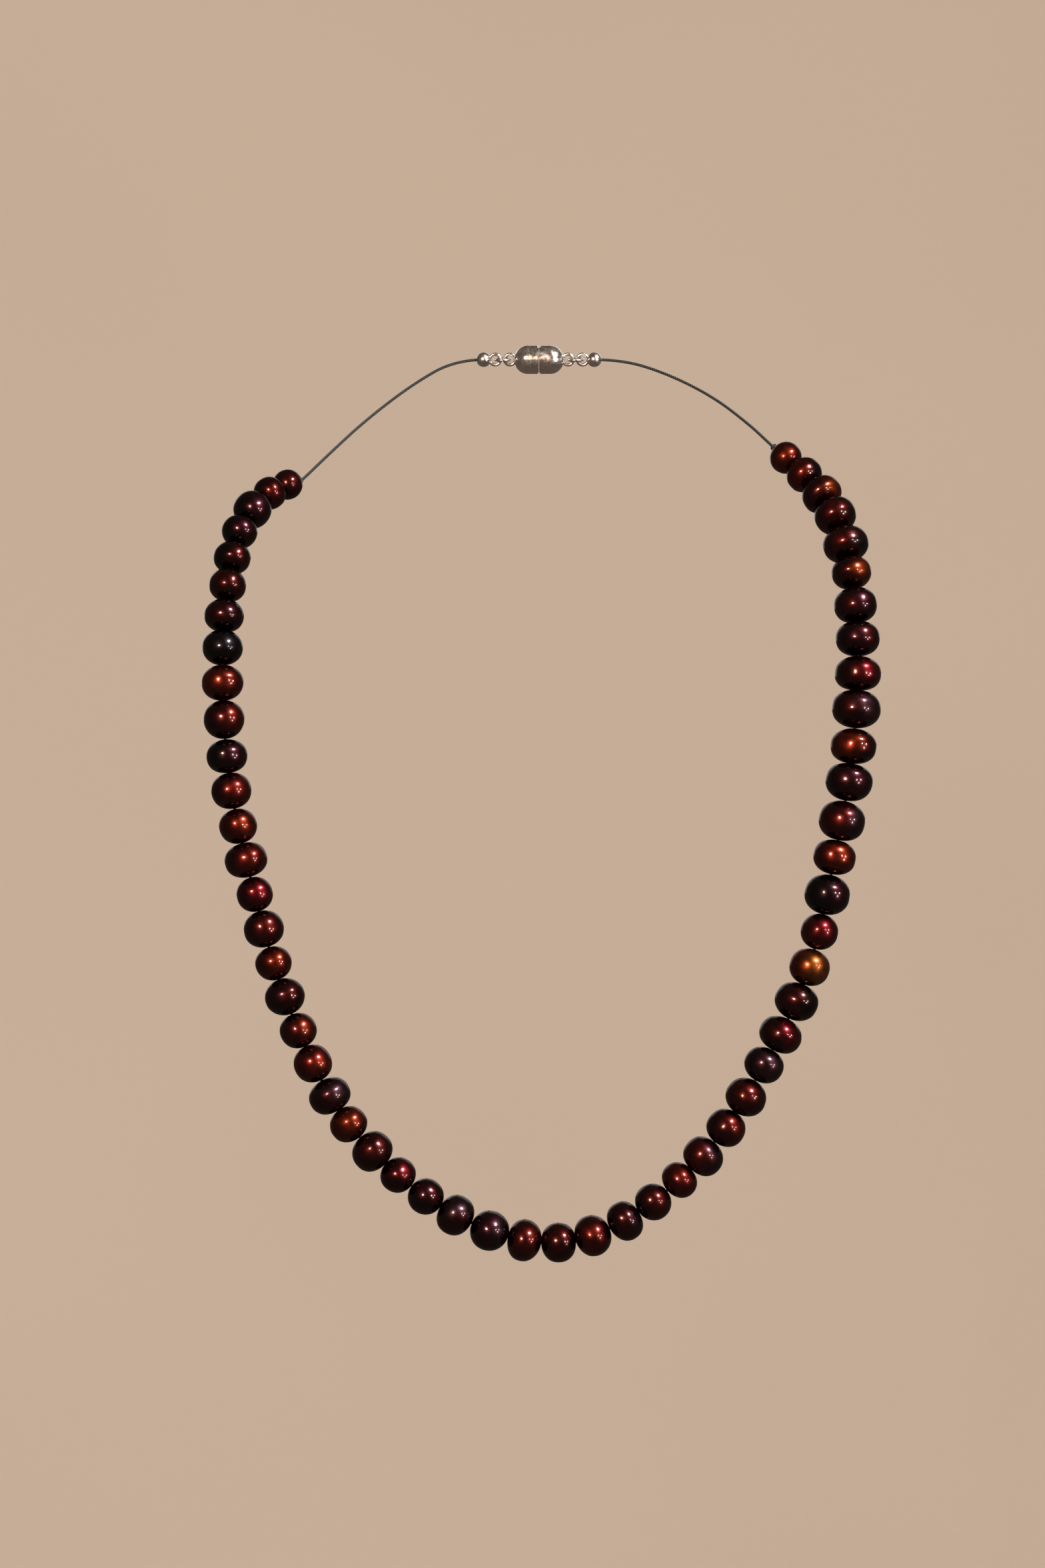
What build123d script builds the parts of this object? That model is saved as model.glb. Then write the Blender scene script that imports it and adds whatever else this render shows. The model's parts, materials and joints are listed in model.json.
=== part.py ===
"""A pearl necklace, worn: fifty-six pearls strung closely on a thin cord, with bare cord and a magnetic
clasp round the nape.

Frame: millimetres, +Z up, the wearer faces -Y. The origin is the centre of the neck opening, at the level
where the pearl row reaches the sides of the neck. Left and right are as seen from the front, left being -X.
The pearl row is one smooth curve from the left shoulder, round the chest, to the right shoulder. Two pearls
on the left and two on the right, level with them, make one row body, and each row body hinges on the one
above it at the gaps between their pearls.
"""

import math
import os

from build123d import *

# ---- Driving dimensions -----------------------------------------------------------------------------

CORD_RADIUS = 0.325
BORE_RADIUS = 0.45  # a drilled pearl hole, with play round the cord
PEARL_GAP = 0.16  # between two pearls of one row body
HINGE_GAP = 0.2  # between two pearls that turn on each other
HOLE_DIMPLE = 0.12  # how far the nacre sinks in round a drill hole

# The middle line of the pearl row, from the end at -X to the end at +X.
PEARL_ROUTE = (
    (-50.5, 10, -5),
    (-56, 3, -6.5),
    (-60.5, -4.5, -11),
    (-63, -13, -20.5),
    (-64, -21.5, -34.5),
    (-63.5, -26.5, -48.5),
    (-62, -30, -62.5),
    (-58, -34, -79.5),
    (-53.5, -37.5, -96),
    (-47, -41.5, -112.5),
    (-38.5, -44.5, -127.5),
    (-28.5, -46.5, -137.5),
    (-17, -48, -145.5),
    (-3, -49, -150.5),
    (7.5, -49, -150.5),
    (17, -48.5, -146.5),
    (28, -46.5, -138.5),
    (37.5, -44.5, -128),
    (45, -42, -115.5),
    (51.5, -39, -103.5),
    (56, -36, -90),
    (59, -33, -75),
    (62, -29.5, -60.5),
    (63.5, -25.5, -46.5),
    (64, -21, -33),
    (63, -15, -20.5),
    (60.5, -7, -10),
    (55, 1, -3),
    (49, 7.5, 2),
)

# Each pearl from the neck to the middle of the chest: its width across the row and its length along it.
LEFT_PEARLS = (
    (6.0, 5.8), (6.6, 5.8), (7.6, 7.2), (7.2, 6.2), (7.4, 6.2), (7.3, 6.5), (7.8, 6.5),
    (7.9, 7.0), (8.1, 7.1), (7.9, 7.7), (7.9, 6.7), (7.9, 7.2), (7.4, 6.9), (8.4, 6.9),
    (7.0, 6.9), (7.7, 7.3), (7.2, 6.7), (7.7, 7.3), (7.2, 6.9), (7.6, 7.4), (8.3, 6.8),
    (7.3, 6.8), (8.1, 7.3), (7.1, 6.7), (7.1, 7.0), (8.1, 7.0), (7.9, 7.7), (8.1, 6.7),
)
RIGHT_PEARLS = (
    (6.5, 6.2), (7.3, 6.0), (8.2, 6.0), (8.4, 6.8), (9.0, 6.8), (8.0, 6.4), (8.4, 7.0),
    (8.8, 6.9), (9.0, 6.8), (9.5, 7.6), (8.8, 7.0), (9.1, 7.5), (9.1, 7.9), (8.3, 6.9),
    (8.9, 8.0), (7.3, 7.1), (7.9, 7.3), (8.6, 7.4), (8.5, 6.9), (7.8, 6.9), (8.1, 7.4),
    (7.7, 7.2), (8.1, 7.1), (7.3, 6.3), (7.3, 7.0), (7.9, 6.6), (8.1, 7.2), (7.8, 6.9),
)
PEARLS_PER_ROW = 2  # on each side

STOP_KNOT_RADIUS = 0.75  # the knot outside each end pearl
STOP_KNOT_LENGTH = 1.1
END_KNOT_RADIUS = 0.85  # the knot inside each bead tip
END_KNOT_LENGTH = 1.3
KNOT_PLAY = 0.02  # round the cord inside a knot
TAIL_PLAY = 0.08  # between a stop knot and the rounded end of the bare cord that turns against it

CLASP_CENTRE = (0, 46.5, 17)  # the clasp lies along X at the nape
CLASP_GAP = 0.1  # between the two meeting faces
CUP_RADIUS = 3.1
CUP_LENGTH = 5.4
CUP_SHOULDER = 2.5  # where the straight wall ends and the dome starts
CUP_BEVEL = 0.3
MAGNET_RADIUS = 2.3
MAGNET_DEPTH = 1.9
MAGNET_PLAY = 0.03
WIRE_RADIUS = 0.35  # the eyes' and the jump rings' wire
EYE_RADIUS = 1.15  # to the middle of the wire
EYE_BITE = 0.25  # how far an eye is set into what it is soldered to
RING_RADIUS = 1.6  # to the middle of the wire
RING_CUT = 6  # degrees, the slit of the jump ring
TIP_RADIUS = 1.6  # the bead tip's outside
TIP_WALL = 0.4
TIP_HOLE_RADIUS = 0.42

# Where each bare cord goes on from its stop knot, round the neck and into the bead tip.
TAIL_ROUTES = {
    "left": ((-44.8, 19.9, -0.9), (-37.5, 32.5, 5), (-27.5, 41.5, 12), (-18, 46.5, 17), (-11.5, 46.5, 17)),
    "right": ((44, 19, 6), (37, 32, 10.5), (27.5, 41.5, 14.5), (18, 46.5, 17), (11.5, 46.5, 17)),
}

BEND_SHARE = 0.45  # of the shorter run, which a bend of the bare cord may take up
BORE_SLACK = 0.09  # how far the cord may leave the middle of the bores at a gap

# ---- Places worked out from the dimensions ----------------------------------------------------------

side_count = len(LEFT_PEARLS)
row_count = side_count // PEARLS_PER_ROW
pearl_sizes = LEFT_PEARLS + RIGHT_PEARLS[::-1]
pearl_count = len(pearl_sizes)
pearl_row = Spline(*[Vector(*point) for point in PEARL_ROUTE])


def is_hinge(gap):
    """Whether the gap after that many pearls, counted from the end at -X, is between two row bodies."""
    from_neck = min(gap, pearl_count - gap)
    return from_neck % PEARLS_PER_ROW == 0 and 0 < from_neck < side_count


gaps = [0.0] + [HINGE_GAP if is_hinge(gap) else PEARL_GAP for gap in range(1, pearl_count)] + [0.0]
strung_length = sum(length for _, length in pearl_sizes)
fill = (pearl_row.length - sum(gaps)) / strung_length  # the pearls fill the row exactly


def gap_middles():
    """The point in the middle of each gap, and the row's two ends."""
    places = [0.0]
    for index, (_, length) in enumerate(pearl_sizes):
        places.append(places[-1] + gaps[index] / 2 + length * fill + gaps[index + 1] / 2)
    return [pearl_row.position_at(place, position_mode=PositionMode.LENGTH) for place in places]


middles = gap_middles()


def hinge_points(row):
    """The left and right points that the hinge above a row body, 2 or more, passes through."""
    strung = PEARLS_PER_ROW * (row - 1)
    return middles[strung], middles[pearl_count - strung]


def tail_start(end, beside):
    """The point beyond the end pearl and its stop knot about which the bare cord turns."""
    outward = (end - beside).normalized()
    return end + outward * (PEARL_GAP + STOP_KNOT_LENGTH + TAIL_PLAY + CORD_RADIUS)


tail_pivots = {
    "left": tail_start(middles[0], middles[1]),
    "right": tail_start(middles[-1], middles[-2]),
}

# ---- Shapes -----------------------------------------------------------------------------------------


def solid_of_revolution(outline, axis=Axis.Z):
    """The body that a closed wire in the XZ plane sweeps round an axis in it."""
    return revolve(make_face(outline), axis)


def pearl(index):
    """One drilled pearl, fuller than an ellipsoid, with its hole along the chord of the row."""
    start, end = middles[index], middles[index + 1]
    width = pearl_sizes[index][0]
    length = (end - start).length - gaps[index] / 2 - gaps[index + 1] / 2
    half_width, half_length = width / 2, length / 2
    shares = ((0.2, 0.98), (0.57, 0.83), (0.885, 0.49), (1.0, 0.0))  # across and along, from pole to girth
    lower = [(half_width * across, -half_length * along) for across, along in shares]
    upper = [(across, -along) for across, along in lower[-2::-1]]
    hole_edge = half_length - HOLE_DIMPLE
    profile = [(BORE_RADIUS, -hole_edge), *lower, *upper, (BORE_RADIUS, hole_edge)]
    skin = Spline(*[Vector(across, 0, along) for across, along in profile])
    bore = Line((BORE_RADIUS, 0, hole_edge), (BORE_RADIUS, 0, -hole_edge))
    body = solid_of_revolution([skin, bore])
    axis = (end - start).normalized()
    centre = start + axis * (gaps[index] / 2 + half_length)
    return Plane(origin=centre, z_dir=axis) * body


def bend_radii(points, slack=None):
    """The radius of each bend: as large as its runs allow, and no more than slack away from its point."""
    radii = []
    for before, point, after in zip(points, points[1:], points[2:]):
        half_turn = math.radians((point - before).get_angle(after - point)) / 2
        shorter_run = min((point - before).length, (after - point).length)
        radius = BEND_SHARE * shorter_run / math.tan(half_turn)
        if slack is not None:
            radius = min(radius, slack / (1 / math.cos(half_turn) - 1))
        radii.append(radius)
    return radii


def cord_tube(points, slack=None):
    """A round cord along straight runs joined by arcs."""
    path = FilletPolyline(*points, radius=bend_radii(points, slack))
    section = Plane(origin=path @ 0, z_dir=path % 0) * Circle(CORD_RADIUS)
    return sweep(section, path=path), path


def trimmed(points, start_trim, end_trim):
    """The same points, with the first and the last moved inwards along their runs."""
    first = points[0] + (points[1] - points[0]).normalized() * start_trim
    last = points[-1] + (points[-2] - points[-1]).normalized() * end_trim
    return [first, *points[1:-1], last]


def knot(place, direction, radius, length):
    """A tight knot round the cord, as a barrel from place onwards."""
    hole = CORD_RADIUS + KNOT_PLAY
    bulge = ThreePointArc((hole, 0, 0), (radius, 0, length / 2), (hole, 0, length))
    wall = Line((hole, 0, length), (hole, 0, 0))
    return Plane(origin=place, z_dir=direction) * solid_of_revolution([bulge, wall])


def strand_cords(row):
    """The cord inside the pearls of one row body: one length on each side, or one in all at the bottom."""
    strung = PEARLS_PER_ROW * (row - 1)
    clear = HINGE_GAP / 2
    left = middles[strung : strung + PEARLS_PER_ROW + 1]
    right = middles[pearl_count - strung - PEARLS_PER_ROW : pearl_count - strung + 1][::-1]
    if row == row_count:
        through = left[:-1] + [middles[side_count]] + right[:-1][::-1]
        return [cord_tube(trimmed(through, clear, clear), BORE_SLACK)[0]]
    if row > 1:
        return [cord_tube(trimmed(side, clear, clear), BORE_SLACK)[0] for side in (left, right)]
    out = -PEARL_GAP - STOP_KNOT_LENGTH
    return [cord_tube(trimmed(side, out, clear), BORE_SLACK)[0] for side in (left, right)]


def stop_knot(side):
    """The knot outside the end pearl, which keeps the pearls together."""
    end, beside = (middles[0], middles[1]) if side == "left" else (middles[-1], middles[-2])
    outward = (end - beside).normalized()
    return knot(end + outward * PEARL_GAP, outward, STOP_KNOT_RADIUS, STOP_KNOT_LENGTH)


def on_clasp(piece, side):
    """A piece made along +X from the clasp's middle, put on its side of the clasp."""
    turn = 180 if side == "left" else 0
    return Pos(*CLASP_CENTRE) * Rot(0, 0, turn) * piece


eye_place = CUP_LENGTH + EYE_RADIUS - EYE_BITE
ring_place = eye_place + RING_RADIUS
tip_eye_place = ring_place + RING_RADIUS
tip_place = tip_eye_place + EYE_RADIUS + TIP_RADIUS - EYE_BITE


def eye(place):
    """A closed loop of wire that stands upright."""
    return Pos(place, 0, 0) * Rot(90, 0, 0) * Torus(EYE_RADIUS, WIRE_RADIUS)


def clasp_cup():
    """One domed half of the clasp, with a pocket for its magnet and an eye on its dome."""
    face = CLASP_GAP / 2
    pocket_radius = MAGNET_RADIUS + MAGNET_PLAY
    pocket_floor = face + MAGNET_DEPTH + MAGNET_PLAY
    dome_rise = CUP_LENGTH - CUP_SHOULDER
    half_way = (CUP_SHOULDER + dome_rise * 0.72, 0, CUP_RADIUS * 0.70)
    outline = [
        Polyline(
            (CUP_LENGTH, 0, 0),
            (pocket_floor, 0, 0),
            (pocket_floor, 0, pocket_radius),
            (face, 0, pocket_radius),
            (face, 0, CUP_RADIUS - CUP_BEVEL),
            (face + CUP_BEVEL, 0, CUP_RADIUS),
            (CUP_SHOULDER, 0, CUP_RADIUS),
        ),
        ThreePointArc((CUP_SHOULDER, 0, CUP_RADIUS), half_way, (CUP_LENGTH, 0, 0)),
    ]
    return solid_of_revolution(outline, Axis.X) + eye(eye_place)


def clasp_magnet():
    """The disc magnet that fills the pocket, flush with the meeting face."""
    disc = Cylinder(MAGNET_RADIUS, MAGNET_DEPTH, align=(Align.CENTER, Align.CENTER, Align.MIN))
    return Pos(CLASP_GAP / 2, 0, 0) * Rot(0, 90, 0) * disc


def jump_ring():
    """A flat ring of wire with a fine slit, which links the cup's eye and the bead tip's."""
    section = Plane.XZ * Pos(RING_RADIUS, 0, 0) * Circle(WIRE_RADIUS)
    ring = revolve(section, Axis.Z, revolution_arc=360 - RING_CUT)
    return Pos(ring_place, 0, 0) * Rot(0, 0, 90 + RING_CUT / 2) * ring


def bead_tip():
    """A hollow ball that closes on the end knot, with an eye on one side and the cord's hole opposite."""
    ball = Pos(tip_place, 0, 0) * Sphere(TIP_RADIUS)
    hollow = Pos(tip_place, 0, 0) * Sphere(TIP_RADIUS - TIP_WALL)
    drill = Cylinder(TIP_HOLE_RADIUS, 2 * TIP_RADIUS, align=(Align.CENTER, Align.CENTER, Align.MIN))
    hole = Pos(tip_place, 0, 0) * Rot(0, 90, 0) * drill
    return ball + eye(tip_eye_place) - hollow - hole


def tail_points(side):
    """The corners of the bare cord's middle line, from the point where it turns to its end."""
    return [tail_pivots[side], *[Vector(*point) for point in TAIL_ROUTES[side]]]


def tail_cord(side):
    """The bare cord from its rounded turning end, round the neck, to the bead tip, and its middle line."""
    tube, path = cord_tube(tail_points(side))
    return tube + Pos(*tail_pivots[side]) * Sphere(CORD_RADIUS), path


def end_knot():
    """The knot at the end of the bare cord, inside the bead tip."""
    return knot((tip_place - END_KNOT_LENGTH / 2, 0, 0), (1, 0, 0), END_KNOT_RADIUS, END_KNOT_LENGTH)


# ---- Sub-parts --------------------------------------------------------------------------------------


def write(name, solids):
    """One STEP file for a sub-part, which may hold several like solids."""
    export_step(Compound(solids), f"parts/{name}.step")


def main():
    os.makedirs("parts", exist_ok=True)
    for row in range(1, row_count + 1):
        strung = PEARLS_PER_ROW * (row - 1)
        nearest = range(strung, strung + PEARLS_PER_ROW)
        write(f"left_pearls_{row:02d}", [pearl(index) for index in nearest])
        write(f"right_pearls_{row:02d}", [pearl(pearl_count - 1 - index) for index in nearest])
        write(f"strand_cord_{row:02d}", strand_cords(row))
    for side in ("left", "right"):
        cord, path = tail_cord(side)
        write(f"{side}_tail_cord", [cord])
        write(f"{side}_stop_knot", [stop_knot(side)])
        write(f"{side}_end_knot", [on_clasp(end_knot(), side)])
        write(f"{side}_bead_tip", [on_clasp(bead_tip(), side)])
        write(f"{side}_jump_ring", [on_clasp(jump_ring(), side)])
        write(f"{side}_clasp_cup", [on_clasp(clasp_cup(), side)])
        write(f"{side}_clasp_magnet", [on_clasp(clasp_magnet(), side)])
        radii = [round(radius, 1) for radius in bend_radii(tail_points(side))]
        filled = cord.volume / (Circle(CORD_RADIUS).area * path.length)
        print(f"{side} tail: {path.length:.1f} mm, bends {radii} mm")
        print(f"{side} tail: {filled:.4f} of its section times its length")
    print(f"pearl row: {pearl_row.length:.1f} mm, pearls fitted by {fill:.4f}")


main()
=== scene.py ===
"""The pearl necklace as it looks: its pearls, cord, knots and clasp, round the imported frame."""

import json
import math
import random

import bpy
import numpy as np
from mathutils import Matrix, Vector, noise


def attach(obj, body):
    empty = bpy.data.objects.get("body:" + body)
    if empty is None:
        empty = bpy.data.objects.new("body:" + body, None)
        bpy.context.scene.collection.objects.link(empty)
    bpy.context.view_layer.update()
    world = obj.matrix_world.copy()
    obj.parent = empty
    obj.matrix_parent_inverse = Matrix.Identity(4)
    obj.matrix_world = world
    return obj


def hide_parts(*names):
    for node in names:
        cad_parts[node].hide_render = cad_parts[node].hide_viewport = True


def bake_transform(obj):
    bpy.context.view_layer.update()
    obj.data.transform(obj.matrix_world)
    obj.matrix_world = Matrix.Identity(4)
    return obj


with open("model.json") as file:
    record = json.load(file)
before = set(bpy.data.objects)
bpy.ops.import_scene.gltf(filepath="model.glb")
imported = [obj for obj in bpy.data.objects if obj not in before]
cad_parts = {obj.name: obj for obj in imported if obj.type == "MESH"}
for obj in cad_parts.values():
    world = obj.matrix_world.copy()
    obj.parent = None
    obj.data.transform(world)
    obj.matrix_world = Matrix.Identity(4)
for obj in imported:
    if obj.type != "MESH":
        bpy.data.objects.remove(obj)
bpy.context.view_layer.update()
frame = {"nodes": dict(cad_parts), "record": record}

# ---- The necklace's sizes, in metres -------------------------------------------------------------

SIDES = ("left", "right")
ROW_COUNT = 14
PEARLS_PER_ROW = 2  # on each side

BORE_RADIUS = 0.00045
DIMPLE_RADIUS = 0.0007  # the sunk nacre round a drill hole
DIMPLE_DEPTH = 0.00012
POLE_SHARE = 0.985  # of a pearl's length, which the CAD shape has beside its sunk drill holes
MATE_END = 0.00007  # that a pearl has over the CAD shape at a gap that doesn't turn, to close it up
HINGE_END = 0.00003  # and at a gap that turns
EXTRA_WIDTH = 0.0002  # and across, before its dents

# The bare cords' routes after the point where each turns, as in the CAD model.
TAIL_ROUTES = {
    "left": (
        (-0.0448, 0.0199, -0.0009),
        (-0.0375, 0.0325, 0.005),
        (-0.0275, 0.0415, 0.012),
        (-0.018, 0.0465, 0.017),
        (-0.0115, 0.0465, 0.017),
    ),
    "right": (
        (0.044, 0.019, 0.006),
        (0.037, 0.032, 0.0105),
        (0.0275, 0.0415, 0.0145),
        (0.018, 0.0465, 0.017),
        (0.0115, 0.0465, 0.017),
    ),
}
TAIL_STUB = 0.00028  # of cord that reaches back from where it turns into its stop knot
STRAND_COUNT = 3
STRAND_RADIUS = 0.000151  # three strands twisted make the cord's radius
STRAND_OFFSET = 0.000174
STRAND_PITCH = 0.0017
BEND_REACH = 0.0003  # of the cord to each side of a gap that turns
KNOT_TURNS = 3
KNOT_TUCK = 0.45  # how far a stop knot's first and last wraps draw in, as a share of its radius
KNOT_TUCK_POWER = 6  # a high power keeps the wraps between them in line
WRAP_SWELL = 1.15  # over the radius at which the wraps just touch, as they press into each other

# ---- What is uneven about a pearl, angles in radians ---------------------------------------------

# The most that it can be off round, as shares of its radius: oval or three-sided across its drill
# hole, skewed, and fuller at one hole than at the other.
OVAL_MOST = 0.022
THREE_SIDED_MOST = 0.009
SKEW_MOST = 0.022
EGG_MOST = 0.03

# Its dents: their number, how far from the lower drill hole they lie, how far they spread, and
# their depth as a share of its radius.
DENT_COUNTS = (0, 1, 1, 2, 3)
DENT_ANGLES = (0.9, 2.2)
DENT_SPREADS = (0.25, 0.5)
DENT_DEPTHS = (0.006, 0.02)

# The growth rings round its drill axis, where it has any, and how far they sway.
RING_DEPTHS = (0, 0.001, 0.0015, 0.003)
RING_COUNTS = (9, 14)
RING_SWAY = 0.5

# Its skin's shallow waves, and how far into the noise field a pearl's own ones may lie.
WAVE_DEPTH = 0.011
WAVE_COUNT = 1.9
WAVE_RANGE = 9

# The power of its outline's curve: 2 is an ellipse, and more is fuller in the shoulders. A pearl
# shorter than FULL_SHARE of its width is fuller by its shortness times the fullness at that end.
OUTLINE_POWERS = (2.02, 2.2)
FULL_SHARE = 0.9
MATE_FULLNESS = 2.4
HINGE_FULLNESS = 0.5

# ---- How finely meshes are made ------------------------------------------------------------------

PEARL_COLUMNS = 80
PEARL_ROWS = 24  # from a drill hole's dimple to the middle
DIMPLE_ROWS = 4
TUBE_SIDES = 10
LINE_STEPS = 150  # between two points of a cord's route
BEND_STEPS = 12
KNOT_STEPS = 40  # in each turn
SHARP_ANGLE = math.radians(40)  # between faces, over which an edge isn't smoothed
WELD_GRID = 1e7  # steps to a metre; corners in one step are at one place

# ---- Camera, backdrop and light ------------------------------------------------------------------

CAMERA_PLACE = (-0.00356, -0.72518, 0.08691)
CAMERA_PITCH = 12  # degrees below the horizon
CAMERA_LENS = 81.43  # millimetres, as is its sensor's width
CAMERA_SENSOR = 36
CAMERA_NEAREST = 0.01

FLOOR_LEVEL = -1.15
FLOOR_CENTRE = 0.02  # the radius of the face in the middle of the floor
BACKDROP_RADIUS = 2.6
BACKDROP_BEND = 1.1
BACKDROP_TOP = 2.6
BACKDROP_BEND_STEPS = 12
BACKDROP_SIDES = 64

NECKLACE_MIDDLE = Vector((0, -0.02, -0.075))
STUDIO_COLOUR = (1.0, 0.76, 0.60, 1)
STUDIO_STRENGTH = 0.15
SIDE_COLOUR = (1, 0.80, 0.72)
WHITE = (1, 1, 1)

# Each soft box: its direction from the necklace as seen from the camera (right, up, near), its
# distance and its width and height in metres, its power in watts, and its colour.
LIGHTS = {
    "key": ((0.57, 0.64, 0.51), 1.0, (0.13, 0.09), 27, (1, 0.95, 0.90)),
    "second": ((-0.29, 0.26, 0.92), 1.0, (0.09, 0.07), 13.5, (1, 0.70, 0.50)),
    "side_a": ((0.62, 0.15, 0.77), 1.1, (0.035, 0.035), 3, SIDE_COLOUR),
    "side_b": ((0.76, -0.09, 0.64), 1.1, (0.045, 0.045), 3, SIDE_COLOUR),
    "side_c": ((0.86, 0.10, 0.50), 1.1, (0.030, 0.030), 3, SIDE_COLOUR),
    "back_left": ((-0.35, 0.35, -1.0), 1.3, (0.8, 0.8), 2, WHITE),
    "back_right": ((0.35, 0.45, -1.0), 1.3, (0.8, 0.8), 2, WHITE),
}


def make_camera():
    data = bpy.data.cameras.new("camera")
    data.lens = CAMERA_LENS
    data.sensor_width = CAMERA_SENSOR
    data.clip_start = CAMERA_NEAREST
    camera = bpy.data.objects.new("camera", data)
    camera.location = CAMERA_PLACE
    camera.rotation_euler = (math.radians(90 - CAMERA_PITCH), 0, 0)
    bpy.context.scene.collection.objects.link(camera)
    bpy.context.scene.camera = camera


def make_backdrop():
    """A pale floor that curves up into a round wall, well away from the necklace on every side."""
    flat = BACKDROP_RADIUS - BACKDROP_BEND
    profile = [(FLOOR_CENTRE, FLOOR_LEVEL), (flat / 2, FLOOR_LEVEL)]
    for step in range(BACKDROP_BEND_STEPS + 1):
        angle = math.pi / 2 * step / BACKDROP_BEND_STEPS
        out = flat + BACKDROP_BEND * math.sin(angle)
        profile.append((out, FLOOR_LEVEL + BACKDROP_BEND * (1 - math.cos(angle))))
    profile.append((BACKDROP_RADIUS, BACKDROP_TOP))
    turns = [math.tau * step / BACKDROP_SIDES for step in range(BACKDROP_SIDES)]
    vertices = [(out * math.cos(turn), out * math.sin(turn), up) for out, up in profile for turn in turns]
    faces = [tuple(range(BACKDROP_SIDES)), *wall_faces(len(profile), BACKDROP_SIDES)]
    backdrop = new_mesh_object("backdrop", vertices, faces)
    backdrop.data.materials.append(backdrop_paint())
    backdrop.visible_glossy = False


def backdrop_paint():
    """Matt plaster, barely mottled. It glows a little, so that it is evenly pale."""
    material, nodes, links, shader = new_material("backdrop_paint")
    coordinate = nodes.new("ShaderNodeTexCoord").outputs["Object"]
    mottle = noise_of(nodes, links, coordinate, scale=1.3, detail=2)
    colour = mix_colours(nodes, links, "MIX", mottle, (0.445, 0.38, 0.315), (0.49, 0.42, 0.35))
    links.new(colour, shader.inputs["Base Color"])
    links.new(colour, shader.inputs["Emission Color"])
    shader.inputs["Emission Strength"].default_value = 0.42
    shader.inputs["Roughness"].default_value = 0.9
    shader.inputs["Specular IOR Level"].default_value = 0.1
    return material


def make_light(name, direction, distance, size, power, colour):
    """A soft box that faces the necklace."""
    pitch = math.radians(CAMERA_PITCH)
    right = Vector((1, 0, 0))
    up = Vector((0, math.sin(pitch), math.cos(pitch)))
    near = Vector((0, -math.cos(pitch), math.sin(pitch)))
    toward = (right * direction[0] + up * direction[1] + near * direction[2]).normalized()
    data = bpy.data.lights.new(name, "AREA")
    data.shape = "RECTANGLE"
    data.size, data.size_y = size
    data.energy = power
    data.color = colour
    light = bpy.data.objects.new(name, data)
    light.location = NECKLACE_MIDDLE + toward * distance
    light.rotation_euler = (-toward).to_track_quat("-Z", "Y").to_euler()
    light.visible_camera = False
    bpy.context.scene.collection.objects.link(light)


def make_lights():
    for name, choices in LIGHTS.items():
        make_light(name, *choices)
    world = bpy.data.worlds.new("studio")
    world.use_nodes = True
    back = world.node_tree.nodes["Background"]
    back.inputs["Color"].default_value = STUDIO_COLOUR
    back.inputs["Strength"].default_value = STUDIO_STRENGTH
    bpy.context.scene.world = world


# ---- Meshes --------------------------------------------------------------------------------------


def new_mesh_object(name, vertices, faces):
    mesh = bpy.data.meshes.new(name)
    mesh.from_pydata([tuple(vertex) for vertex in vertices], [], faces)
    mesh.shade_smooth()
    mesh.set_sharp_from_angle(angle=SHARP_ANGLE)
    made = bpy.data.objects.new(name, mesh)
    bpy.context.scene.collection.objects.link(made)
    return made


def wall_faces(rings, sides, closed=False):
    """The faces between each ring of vertices and the next, and from the last to the first if closed."""
    faces = []
    for ring in range(rings if closed else rings - 1):
        below = ring * sides
        above = (ring + 1) % rings * sides
        for side in range(sides):
            beside = (side + 1) % sides
            faces.append((below + side, below + beside, above + beside, above + side))
    return faces


def mesh_numbers(items, name, width=1, kind=float):
    numbers = np.zeros(len(items) * width, kind)
    items.foreach_get(name, numbers)
    return numbers.reshape(-1, width) if width > 1 else numbers


def loose_parts(mesh):
    """A part's number for each vertex and each face of a mesh; vertices at one place belong together."""
    corners = mesh_numbers(mesh.vertices, "co", 3)
    places = np.round(corners * WELD_GRID).astype(int)
    welded = np.unique(places, axis=0, return_inverse=True)[1].ravel()
    ends = welded[mesh_numbers(mesh.edges, "vertices", 2, int)]
    part = np.arange(welded.max() + 1)
    while (part[ends[:, 0]] != part[ends[:, 1]]).any():
        lower = part[ends].min(axis=1)
        np.minimum.at(part, ends[:, 0], lower)
        np.minimum.at(part, ends[:, 1], lower)
        part = part[part]
    vertex_part = part[welded]
    first_loops = mesh_numbers(mesh.polygons, "loop_start", 1, int)
    first_vertices = mesh_numbers(mesh.loops, "vertex_index", 1, int)[first_loops]
    return vertex_part, vertex_part[first_vertices]


def cad_beads(node):
    """A CAD node's drilled bodies, from the top down: centre, drill axis, width and length of each."""
    mesh = frame["nodes"][node].data
    vertex_part, face_part = loose_parts(mesh)
    corners = mesh_numbers(mesh.vertices, "co", 3)
    normals = mesh_numbers(mesh.polygons, "normal", 3)
    middles = mesh_numbers(mesh.polygons, "center", 3)
    areas = mesh_numbers(mesh.polygons, "area")
    found = []
    for part in np.unique(vertex_part):
        mine = face_part == part
        points = corners[vertex_part == part]
        centre = (points.max(0) + points.min(0)) / 2
        inward = (normals[mine] * (middles[mine] - centre)).sum(1) < 0
        bore = normals[mine][inward] * areas[mine][inward, None]
        axis = np.linalg.eigh(bore.T @ bore)[1][:, 0]
        off = points - centre
        along = off @ axis
        across = np.linalg.norm(off - along[:, None] * axis, axis=1)
        length = (along.max() - along.min()) / POLE_SHARE
        found.append((Vector(centre), Vector(axis), 2 * across.max(), length))
    return sorted(found, key=lambda bead: -bead[0].z)


# ---- Materials' parts ----------------------------------------------------------------------------

# A mix node has sockets of every kind: these are the factor's, the two colours' and the result's.
MIX_FACTOR = 0
MIX_FIRST = 6
MIX_SECOND = 7
MIX_RESULT = 2


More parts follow.
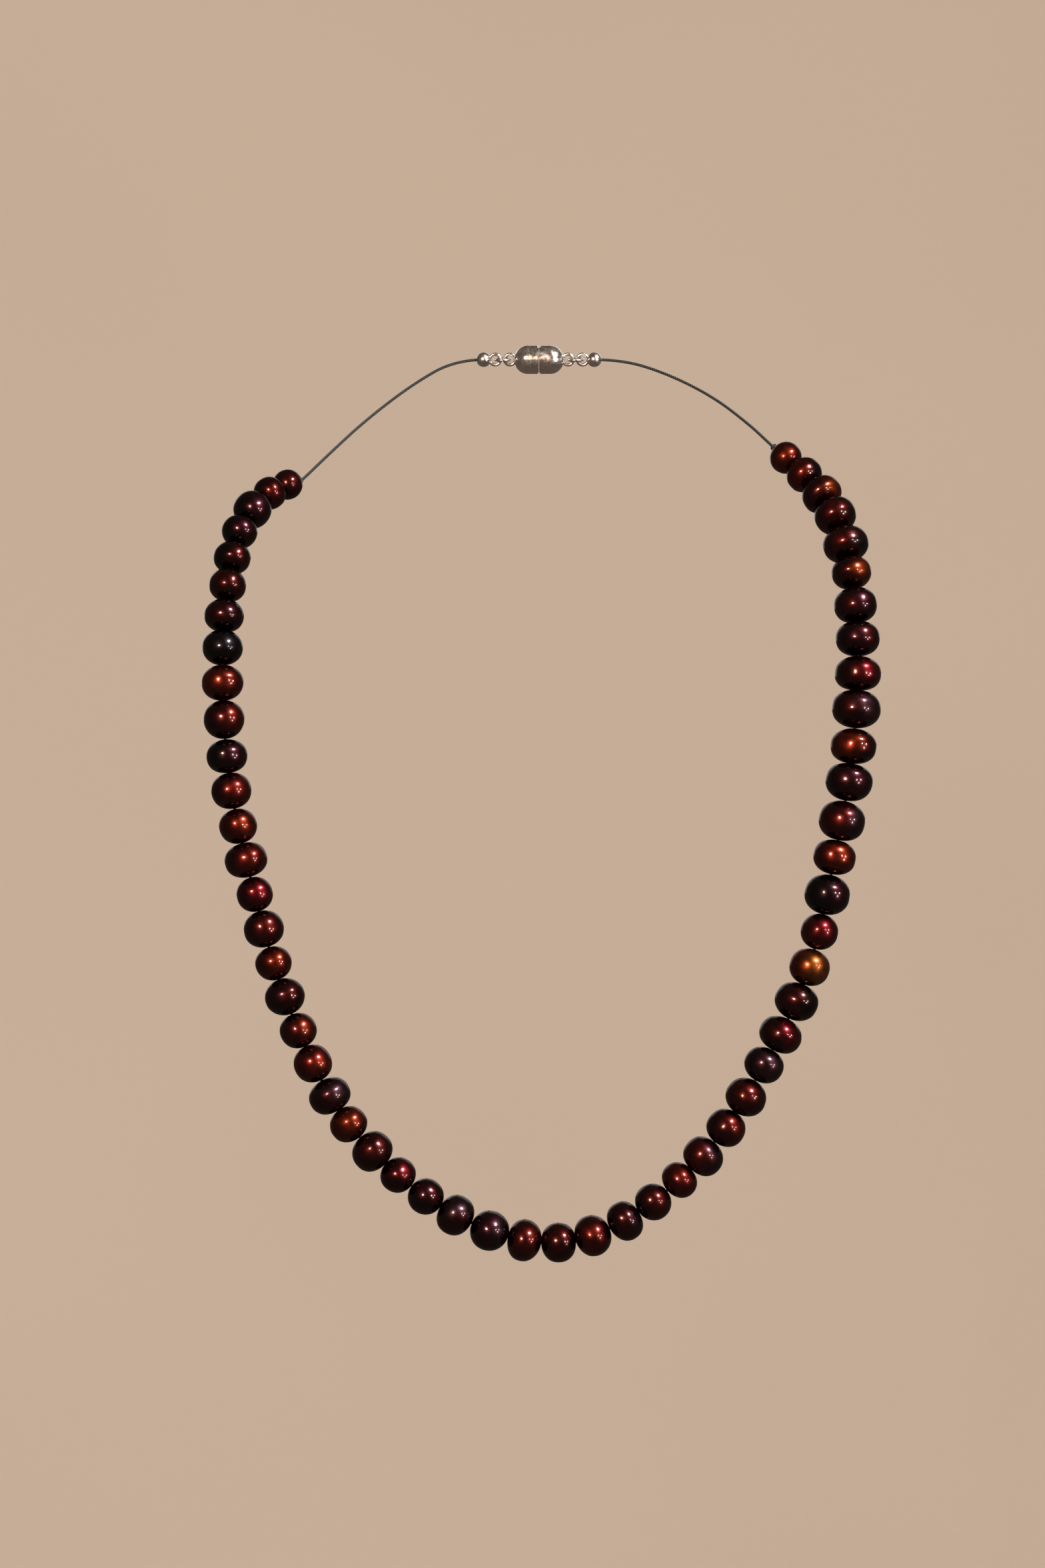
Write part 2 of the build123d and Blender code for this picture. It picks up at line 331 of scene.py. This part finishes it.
def new_material(name):
    material = bpy.data.materials.new(name)
    material.use_nodes = True
    tree = material.node_tree
    return material, tree.nodes, tree.links, tree.nodes["Principled BSDF"]


def mix_colours(nodes, links, kind, factor, first, second):
    """A mix node's result. The factor is a number or a socket, and a colour three numbers or a socket."""
    mix = nodes.new("ShaderNodeMix")
    mix.data_type = "RGBA"
    mix.blend_type = kind
    for socket, value in ((MIX_FACTOR, factor), (MIX_FIRST, first), (MIX_SECOND, second)):
        if isinstance(value, bpy.types.NodeSocket):
            links.new(value, mix.inputs[socket])
        elif socket == MIX_FACTOR:
            mix.inputs[socket].default_value = value
        else:
            mix.inputs[socket].default_value = (*value, 1)
    return mix.outputs[MIX_RESULT]


def noise_of(nodes, links, place, scale, detail, roughness=0.5):
    texture = nodes.new("ShaderNodeTexNoise")
    texture.inputs["Scale"].default_value = scale
    texture.inputs["Detail"].default_value = detail
    texture.inputs["Roughness"].default_value = roughness
    links.new(place, texture.inputs["Vector"])
    return texture.outputs["Fac"]


def ranged(nodes, links, value, from_range, to_range):
    """The value, brought smoothly from one range into another."""
    mapped = nodes.new("ShaderNodeMapRange")
    mapped.interpolation_type = "SMOOTHSTEP"
    names = ("From Min", "From Max", "To Min", "To Max")
    for name, number in zip(names, (*from_range, *to_range)):
        mapped.inputs[name].default_value = number
    links.new(value, mapped.inputs["Value"])
    return mapped.outputs["Result"]


def bumped(nodes, links, height, strength, distance):
    """The normal of a surface that this height roughens by as much as the distance, in metres."""
    bump = nodes.new("ShaderNodeBump")
    bump.inputs["Strength"].default_value = strength
    bump.inputs["Distance"].default_value = distance
    links.new(height, bump.inputs["Height"])
    return bump.outputs["Normal"]


def paint_nodes(names, material):
    """A look for CAD nodes whose shapes stay."""
    for name in names:
        frame["nodes"][name].data.materials[0] = material


# ---- Pearls --------------------------------------------------------------------------------------

# The dyed nacre's colours, as what each reflects straight on.
DYES = {
    "black": (0.0040, 0.0018, 0.0020),
    "blue": (0.0038, 0.0030, 0.0044),
    "plum": (0.014, 0.0017, 0.0038),
    "violet": (0.017, 0.0068, 0.0100),
    "maroon": (0.019, 0.0015, 0.0016),
    "garnet": (0.029, 0.0020, 0.0017),
    "crimson": (0.043, 0.0013, 0.0030),
    "red": (0.047, 0.0032, 0.0018),
    "copper": (0.066, 0.0066, 0.0018),
    "orange": (0.096, 0.0145, 0.0022),
    "bronze": (0.100, 0.027, 0.0045),
}

# From the neck down: a pearl's own dye, its second dye, and the side that the second one lies towards.
LEFT_DYES = (
    ("maroon", "garnet", "up"), ("garnet", "maroon", "left"), ("plum", "black", "left"),
    ("plum", "black", "left"), ("maroon", "black", "left"), ("maroon", "garnet", "left"),
    ("maroon", "plum", "right"), ("blue", "black", "down"), ("copper", "red", "right"),
    ("maroon", "red", "right"), ("plum", "black", "left"), ("red", "maroon", "left"),
    ("red", "copper", "right"), ("red", "garnet", "left"), ("crimson", "garnet", "left"),
    ("garnet", "maroon", "left"), ("copper", "red", "left"), ("maroon", "plum", "left"),
    ("garnet", "copper", "right"), ("red", "copper", "right"), ("maroon", "violet", "up"),
    ("copper", "red", "down"), ("maroon", "garnet", "left"), ("maroon", "crimson", "right"),
    ("plum", "maroon", "right"), ("maroon", "violet", "up"), ("plum", "violet", "right"),
    ("garnet", "red", "right"),
)
RIGHT_DYES = (
    ("copper", "red", "right"), ("red", "black", "right"), ("maroon", "orange", "right"),
    ("garnet", "maroon", "right"), ("garnet", "blue", "right"), ("maroon", "orange", "right"),
    ("plum", "maroon", "left"), ("plum", "maroon", "right"), ("crimson", "maroon", "left"),
    ("maroon", "violet", "right"), ("copper", "maroon", "right"), ("plum", "maroon", "down"),
    ("garnet", "violet", "right"), ("copper", "red", "left"), ("black", "plum", "right"),
    ("crimson", "red", "left"), ("bronze", "copper", "left"), ("maroon", "black", "right"),
    ("maroon", "crimson", "right"), ("violet", "plum", "left"), ("garnet", "maroon", "down"),
    ("maroon", "red", "right"), ("red", "violet", "right"), ("red", "crimson", "down"),
    ("garnet", "maroon", "left"), ("maroon", "violet", "right"), ("red", "garnet", "right"),
    ("maroon", "garnet", "left"),
)
DYE_DIRECTIONS = {
    "left": (-1, -0.2, 0.1),
    "right": (1, -0.2, 0.1),
    "up": (0.2, -0.2, 1),
    "down": (0.1, -0.2, -1),
}
DYE_EDGE = (0.75, 1.55)  # where the second dye begins and is full, from the pearl's middle outwards
CLOUD_WEIGHT = 1.5  # of the noise that makes that edge cloudy
PATTERN_SHIFT = 1  # the most that a pearl's patterns are moved by, so that no two are alike


def half_outline(half_width, half_length, power):
    """Half a pearl, from its lower drill hole to its middle: across, along and angle for each ring."""
    fullness = 2 / power
    first = math.asin((DIMPLE_RADIUS / half_width) ** (1 / fullness))
    rings = []
    for step in range(DIMPLE_ROWS):
        share = step / DIMPLE_ROWS
        sunk = DIMPLE_DEPTH * (1 - share) ** 2
        across = BORE_RADIUS + (DIMPLE_RADIUS - BORE_RADIUS) * share
        rings.append((across, sunk - half_length, 0.0))
    for row in range(PEARL_ROWS + 1):
        angle = first + (math.pi / 2 - first) * row / PEARL_ROWS
        lean = max(0, math.cos(angle)) / math.cos(first)
        rings.append((half_width * math.sin(angle) ** fullness, -half_length * lean**fullness, angle))
    return rings


def whole_outline(half_width, half_length, low_power, high_power):
    """A whole pearl's rings, from its lower drill hole to its upper one."""
    low = half_outline(half_width, half_length, low_power)
    high = half_outline(half_width, half_length, high_power)
    return low + [(across, -along, math.pi - angle) for across, along, angle in high[-2::-1]]


def angle_between(angle, turn, other_angle, other_turn):
    """Between two directions, each given by its angle from the drill hole and its turn round it."""
    near = math.cos(angle) * math.cos(other_angle)
    near += math.sin(angle) * math.sin(other_angle) * math.cos(turn - other_turn)
    return math.acos(max(-1, min(1, near)))


class Unevenness:
    """How one pearl is off round, dented, ringed and wavy, drawn at random."""

    def __init__(self, rng):
        self.oval = rng.uniform(0, OVAL_MOST)
        self.three_sided = rng.uniform(0, THREE_SIDED_MOST)
        self.skew = rng.uniform(0, SKEW_MOST)
        self.egg = rng.uniform(0, EGG_MOST)
        self.oval_turn, self.three_turn, self.skew_turn = [rng.uniform(0, math.tau) for _ in range(3)]
        self.dents = [self.new_dent(rng) for _ in range(rng.choice(DENT_COUNTS))]
        self.ring_depth = rng.choice(RING_DEPTHS)
        self.ring_count = rng.uniform(*RING_COUNTS)
        self.wave_place = Vector([rng.uniform(-WAVE_RANGE, WAVE_RANGE) for _ in range(3)])
        self.outline_power = rng.uniform(*OUTLINE_POWERS)

    @staticmethod
    def new_dent(rng):
        """Its angle and turn, its spread and its depth."""
        angle = rng.uniform(*DENT_ANGLES)
        turn = rng.uniform(0, math.tau)
        spread = rng.uniform(*DENT_SPREADS)
        return angle, turn, spread, rng.uniform(*DENT_DEPTHS)

    def swell(self, angle, turn):
        """How far the surface stands out, at an angle from the lower drill hole and a turn round it."""
        skewed = math.cos(turn - self.skew_turn)
        swell = self.egg * math.cos(angle) + self.oval * math.cos(2 * (turn - self.oval_turn))
        swell += self.three_sided * math.cos(3 * (turn - self.three_turn))
        swell += self.skew * math.cos(angle) * skewed
        swell += self.ring_depth * math.cos(self.ring_count * angle + RING_SWAY * skewed)
        for dent_angle, dent_turn, spread, depth in self.dents:
            gap = angle_between(angle, turn, dent_angle, dent_turn)
            swell -= depth * math.exp(-((gap / spread) ** 2))
        flat = math.sin(angle)
        outward = Vector((flat * math.cos(turn), flat * math.sin(turn), math.cos(angle)))
        return swell + WAVE_DEPTH * noise.noise(outward * WAVE_COUNT + self.wave_place)


def pearl_mesh(name, width, length, mate_above, rng):
    """A drilled, off-round pearl about its own centre, with its drill hole along Z."""
    uneven = Unevenness(rng)
    shortness = max(0, FULL_SHARE - length / width)
    mate_power = uneven.outline_power + MATE_FULLNESS * shortness
    hinge_power = uneven.outline_power + HINGE_FULLNESS * shortness
    powers = (hinge_power, mate_power) if mate_above else (mate_power, hinge_power)
    rings = whole_outline(width / 2, length / 2, *powers)
    vertices = []
    for across, along, angle in rings:
        for column in range(PEARL_COLUMNS):
            turn = math.tau * column / PEARL_COLUMNS
            out = across * (1 + math.sin(angle) ** 2 * uneven.swell(angle, turn))
            vertices.append((out * math.cos(turn), out * math.sin(turn), along))
    return new_mesh_object(name, vertices, wall_faces(len(rings), PEARL_COLUMNS, closed=True))


def nacre(name, dye, second_dye, toward, radius, rng):
    """Dyed nacre: a soft coloured mirror that shifts to a second dye on one side, under a clear skin."""
    material, nodes, links, shader = new_material(name)
    coordinate = nodes.new("ShaderNodeTexCoord").outputs["Object"]
    moved = nodes.new("ShaderNodeVectorMath")
    moved.operation = "ADD"
    moved.inputs[1].default_value = [rng.uniform(-PATTERN_SHIFT, PATTERN_SHIFT) for _ in range(3)]
    links.new(coordinate, moved.inputs[0])
    place = moved.outputs["Vector"]

    # The second dye lies towards one side, and begins along a cloudy edge.
    lean = nodes.new("ShaderNodeVectorMath")
    lean.operation = "DOT_PRODUCT"
    lean.inputs[1].default_value = toward.normalized() / radius
    links.new(coordinate, lean.inputs[0])
    cloudy = nodes.new("ShaderNodeMath")
    cloudy.operation = "MULTIPLY_ADD"
    cloudy.inputs[1].default_value = CLOUD_WEIGHT
    links.new(noise_of(nodes, links, place, scale=230, detail=2.5), cloudy.inputs[0])
    links.new(lean.outputs["Value"], cloudy.inputs[2])
    share = ranged(nodes, links, cloudy.outputs["Value"], DYE_EDGE, (0, 1))
    colour = mix_colours(nodes, links, "MIX", share, DYES[dye], DYES[second_dye])

    # The dye is deeper in some patches than in others.
    patches = noise_of(nodes, links, place, scale=420, detail=3)
    depth = ranged(nodes, links, patches, (0.3, 0.7), (0.62, 1.25))
    grey = nodes.new("ShaderNodeCombineColor")
    for channel in range(3):
        links.new(depth, grey.inputs[channel])
    colour = mix_colours(nodes, links, "MULTIPLY", 1.0, colour, grey.outputs["Color"])
    links.new(colour, shader.inputs["Base Color"])

    haze = noise_of(nodes, links, place, scale=640, detail=3)
    links.new(ranged(nodes, links, haze, (0.3, 0.7), (0.31, 0.40)), shader.inputs["Roughness"])
    shader.inputs["Metallic"].default_value = 1.0
    shader.inputs["Specular Tint"].default_value = (0.4, 0.3, 0.3, 1)
    shader.inputs["Coat Weight"].default_value = 0.42
    shader.inputs["Coat Roughness"].default_value = 0.14
    shader.inputs["Coat IOR"].default_value = 1.53

    grain = noise_of(nodes, links, place, scale=1500, detail=3, roughness=0.6)
    normal = bumped(nodes, links, grain, strength=0.5, distance=0.00002)
    links.new(normal, shader.inputs["Normal"])
    links.new(normal, shader.inputs["Coat Normal"])
    return material


def make_pearl(name, bead, mate_centre, at_bottom, dye_choice):
    """The pearl that stands for a CAD bead. Its mate is the pearl beside it that it never turns on."""
    centre, axis, width, length = bead
    rng = random.Random(name)
    outer_end = MATE_END if at_bottom else HINGE_END
    mate_above = axis.dot(mate_centre - centre) > 0
    pearl = pearl_mesh(name, width + EXTRA_WIDTH, length + MATE_END + outer_end, mate_above, rng)
    toward_mate = axis if mate_above else -axis
    place = centre + toward_mate * (MATE_END - outer_end) / 2
    turned = axis.to_track_quat("Z", "Y").to_matrix()
    dye, second_dye, direction = dye_choice
    toward = turned.transposed() @ Vector(DYE_DIRECTIONS[direction])
    pearl.data.materials.append(nacre(name, dye, second_dye, toward, width / 2, rng))
    pearl.matrix_world = Matrix.Translation(place) @ turned.to_4x4()
    return pearl


def make_pearls():
    last_number = ROW_COUNT * PEARLS_PER_ROW
    for side, dyes in zip(SIDES, (LEFT_DYES, RIGHT_DYES)):
        for row in range(1, ROW_COUNT + 1):
            node = f"{side}_pearls_{row:02d}"
            beads = cad_beads(node)
            for order, bead in enumerate(beads):
                number = PEARLS_PER_ROW * (row - 1) + order + 1
                name = f"{side}_pearl_{number:02d}"
                mate_centre = beads[1 - order][0]
                pearl = make_pearl(name, bead, mate_centre, number == last_number, dyes[number - 1])
                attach(pearl, f"row_{row:02d}")
                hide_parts(node)


# ---- Cord and knots ------------------------------------------------------------------------------


def joint_place(name):
    joints = frame["record"]["behaviour"]["joints"]
    return Vector(next(joint["pos_m"] for joint in joints if joint["name"] == name))


def line_points(name, control_points):
    """Close points along one smooth NURBS curve."""
    data = bpy.data.curves.new(name, "CURVE")
    data.dimensions = "3D"
    data.resolution_u = LINE_STEPS
    spline = data.splines.new("NURBS")
    spline.points.add(len(control_points) - 1)
    for point, place in zip(spline.points, control_points):
        point.co = (*place, 1)
    spline.order_u = 3
    spline.use_endpoint_u = True
    line = bpy.data.objects.new(name, data)
    points = [vertex.co.copy() for vertex in bpy.data.meshes.new_from_object(line).vertices]
    bpy.data.objects.remove(line)
    return points


def frames_along(points):
    """A direction across the line and the one square to it at each point, without any twist."""
    tangents = [(after - before).normalized() for before, after in zip(points, points[1:])]
    tangents.append(tangents[-1])
    across = tangents[0].orthogonal().normalized()
    found = []
    for before, tangent in zip([tangents[0], *tangents], tangents):
        across = before.rotation_difference(tangent) @ across
        found.append((across.copy(), tangent.cross(across)))
    return found


def strand_paths(points):
    """The middle lines of the strands that twist round a cord's line."""
    walked = 0.0
    paths = [[] for _ in range(STRAND_COUNT)]
    for index, (point, (across, up)) in enumerate(zip(points, frames_along(points))):
        if index:
            walked += (point - points[index - 1]).length
        for strand, path in enumerate(paths):
            turn = math.tau * (walked / STRAND_PITCH + strand / STRAND_COUNT)
            path.append(point + (across * math.cos(turn) + up * math.sin(turn)) * STRAND_OFFSET)
    return paths


def tubes(name, paths, radius, material):
    """One object with a round tube along each path, closed at both ends."""
    vertices, faces = [], []
    for path in paths:
        start = len(vertices)
        for point, (across, up) in zip(path, frames_along(path)):
            for side in range(TUBE_SIDES):
                turn = math.tau * side / TUBE_SIDES
                vertices.append(point + (across * math.cos(turn) + up * math.sin(turn)) * radius)
        first_ring = range(TUBE_SIDES)
        last_ring = range(len(vertices) - start - TUBE_SIDES, len(vertices) - start)
        tube = [*wall_faces(len(path), TUBE_SIDES), tuple(reversed(first_ring)), tuple(last_ring)]
        faces += [tuple(start + corner for corner in face) for face in tube]
    made = new_mesh_object(name, vertices, faces)
    made.data.materials.append(material)
    return made


def dark_cord():
    """Fine twisted cord, near-black with a blue-green cast, and a little wax on it."""
    material, nodes, links, shader = new_material("dark_cord_looks")
    coordinate = nodes.new("ShaderNodeTexCoord").outputs["Object"]
    fibres = noise_of(nodes, links, coordinate, scale=2600, detail=4, roughness=0.7)
    colour = mix_colours(nodes, links, "MIX", fibres, (0.004, 0.006, 0.0075), (0.013, 0.018, 0.021))
    links.new(colour, shader.inputs["Base Color"])
    links.new(ranged(nodes, links, fibres, (0.3, 0.7), (0.5, 0.68)), shader.inputs["Roughness"])
    shader.inputs["Specular IOR Level"].default_value = 0.25
    fuzz = bumped(nodes, links, fibres, strength=0.6, distance=0.00003)
    links.new(fuzz, shader.inputs["Normal"])
    return material


def make_tails(material):
    for side in SIDES:
        turning = joint_place(f"{side}_tail_swing")
        knot_centre = cad_beads(f"{side}_stop_knot")[0][0]
        start = turning + (knot_centre - turning).normalized() * TAIL_STUB
        points = line_points(f"{side}_tail_line", [start, turning, *TAIL_ROUTES[side]])
        tail = tubes(f"{side}_tail", strand_paths(points), STRAND_RADIUS, material)
        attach(tail, f"{side}_tail")
        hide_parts(f"{side}_tail_cord")


def make_bends(material):
    """The bit of cord across each gap that turns, which bends from one row body's cord to the next's."""
    for side in SIDES:
        for row in range(1, ROW_COUNT):
            above, _, _, above_length = cad_beads(f"{side}_pearls_{row:02d}")[-1]
            below, _, _, below_length = cad_beads(f"{side}_pearls_{row + 1:02d}")[0]
            down = (below - above).normalized()
            gap_start = above + down * above_length / 2
            gap_end = below - down * below_length / 2
            middle = (gap_start + gap_end) / 2
            shares = [2 * step / BEND_STEPS - 1 for step in range(BEND_STEPS + 1)]
            points = [middle + down * BEND_REACH * share for share in shares]
            bend = tubes(f"{side}_cord_bend_{row:02d}", strand_paths(points), STRAND_RADIUS, material)
            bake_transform(bend)


def make_stop_knots(material):
    """The cord wound round itself and pulled tight, outside each end pearl."""
    for side in SIDES:
        centre, axis, width, length = cad_beads(f"{side}_stop_knot")[0]
        wrap_radius = length / (2 * KNOT_TURNS + 2)
        coil_radius = width / 2 - wrap_radius
        steps = KNOT_STEPS * KNOT_TURNS
        path = []
        for step in range(steps + 1):
            share = step / steps
            turn = math.tau * KNOT_TURNS * share
            out = coil_radius * (1 - KNOT_TUCK * (2 * share - 1) ** KNOT_TUCK_POWER)
            up = (length - 2 * wrap_radius) * (share - 0.5)
            path.append(Vector((out * math.cos(turn), out * math.sin(turn), up)))
        knot = tubes(f"{side}_stop_knot_wraps", [path], wrap_radius * WRAP_SWELL, material)
        knot.matrix_world = Matrix.Translation(centre) @ axis.to_track_quat("Z", "Y").to_matrix().to_4x4()
        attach(knot, "row_01")
        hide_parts(f"{side}_stop_knot")


# ---- Clasp ---------------------------------------------------------------------------------------

SHADE_BETWEEN_RUBS = 0.82  # of the metal's colour
ROUGHNESS_BETWEEN_RUBS = 0.7  # of the metal's roughness
ROUGHNESS_ON_RUBS = 1.5


def polished_metal(name, colour, roughness):
    """Polished metal with the fine rub marks of wear."""
    material, nodes, links, shader = new_material(name)
    coordinate = nodes.new("ShaderNodeTexCoord").outputs["Object"]
    rubs = noise_of(nodes, links, coordinate, scale=900, detail=6, roughness=0.75)
    darker = [SHADE_BETWEEN_RUBS * channel for channel in colour]
    links.new(mix_colours(nodes, links, "MIX", rubs, darker, colour), shader.inputs["Base Color"])
    shader.inputs["Metallic"].default_value = 1.0
    rough_range = (ROUGHNESS_BETWEEN_RUBS * roughness, ROUGHNESS_ON_RUBS * roughness)
    links.new(ranged(nodes, links, rubs, (0.35, 0.7), rough_range), shader.inputs["Roughness"])
    scratches = noise_of(nodes, links, coordinate, scale=3500, detail=3, roughness=0.6)
    normal = bumped(nodes, links, scratches, strength=0.25, distance=0.00001)
    links.new(normal, shader.inputs["Normal"])
    return material


# ---- Making it -----------------------------------------------------------------------------------

bpy.context.scene.view_settings.view_transform = "Standard"
make_camera()

cord_material = dark_cord()
make_tails(cord_material)
make_bends(cord_material)
make_stop_knots(cord_material)
paint_nodes([f"strand_cord_{row:02d}" for row in range(1, ROW_COUNT + 1)], cord_material)
paint_nodes([f"{side}_end_knot" for side in SIDES], cord_material)

steel = polished_metal("clasp_steel", (0.62, 0.60, 0.58), 0.24)
for piece in ("bead_tip", "jump_ring", "clasp_cup"):
    paint_nodes([f"{side}_{piece}" for side in SIDES], steel)
plate = polished_metal("magnet_plate", (0.70, 0.70, 0.71), 0.14)
paint_nodes([f"{side}_clasp_magnet" for side in SIDES], plate)

make_pearls()
make_backdrop()
make_lights()
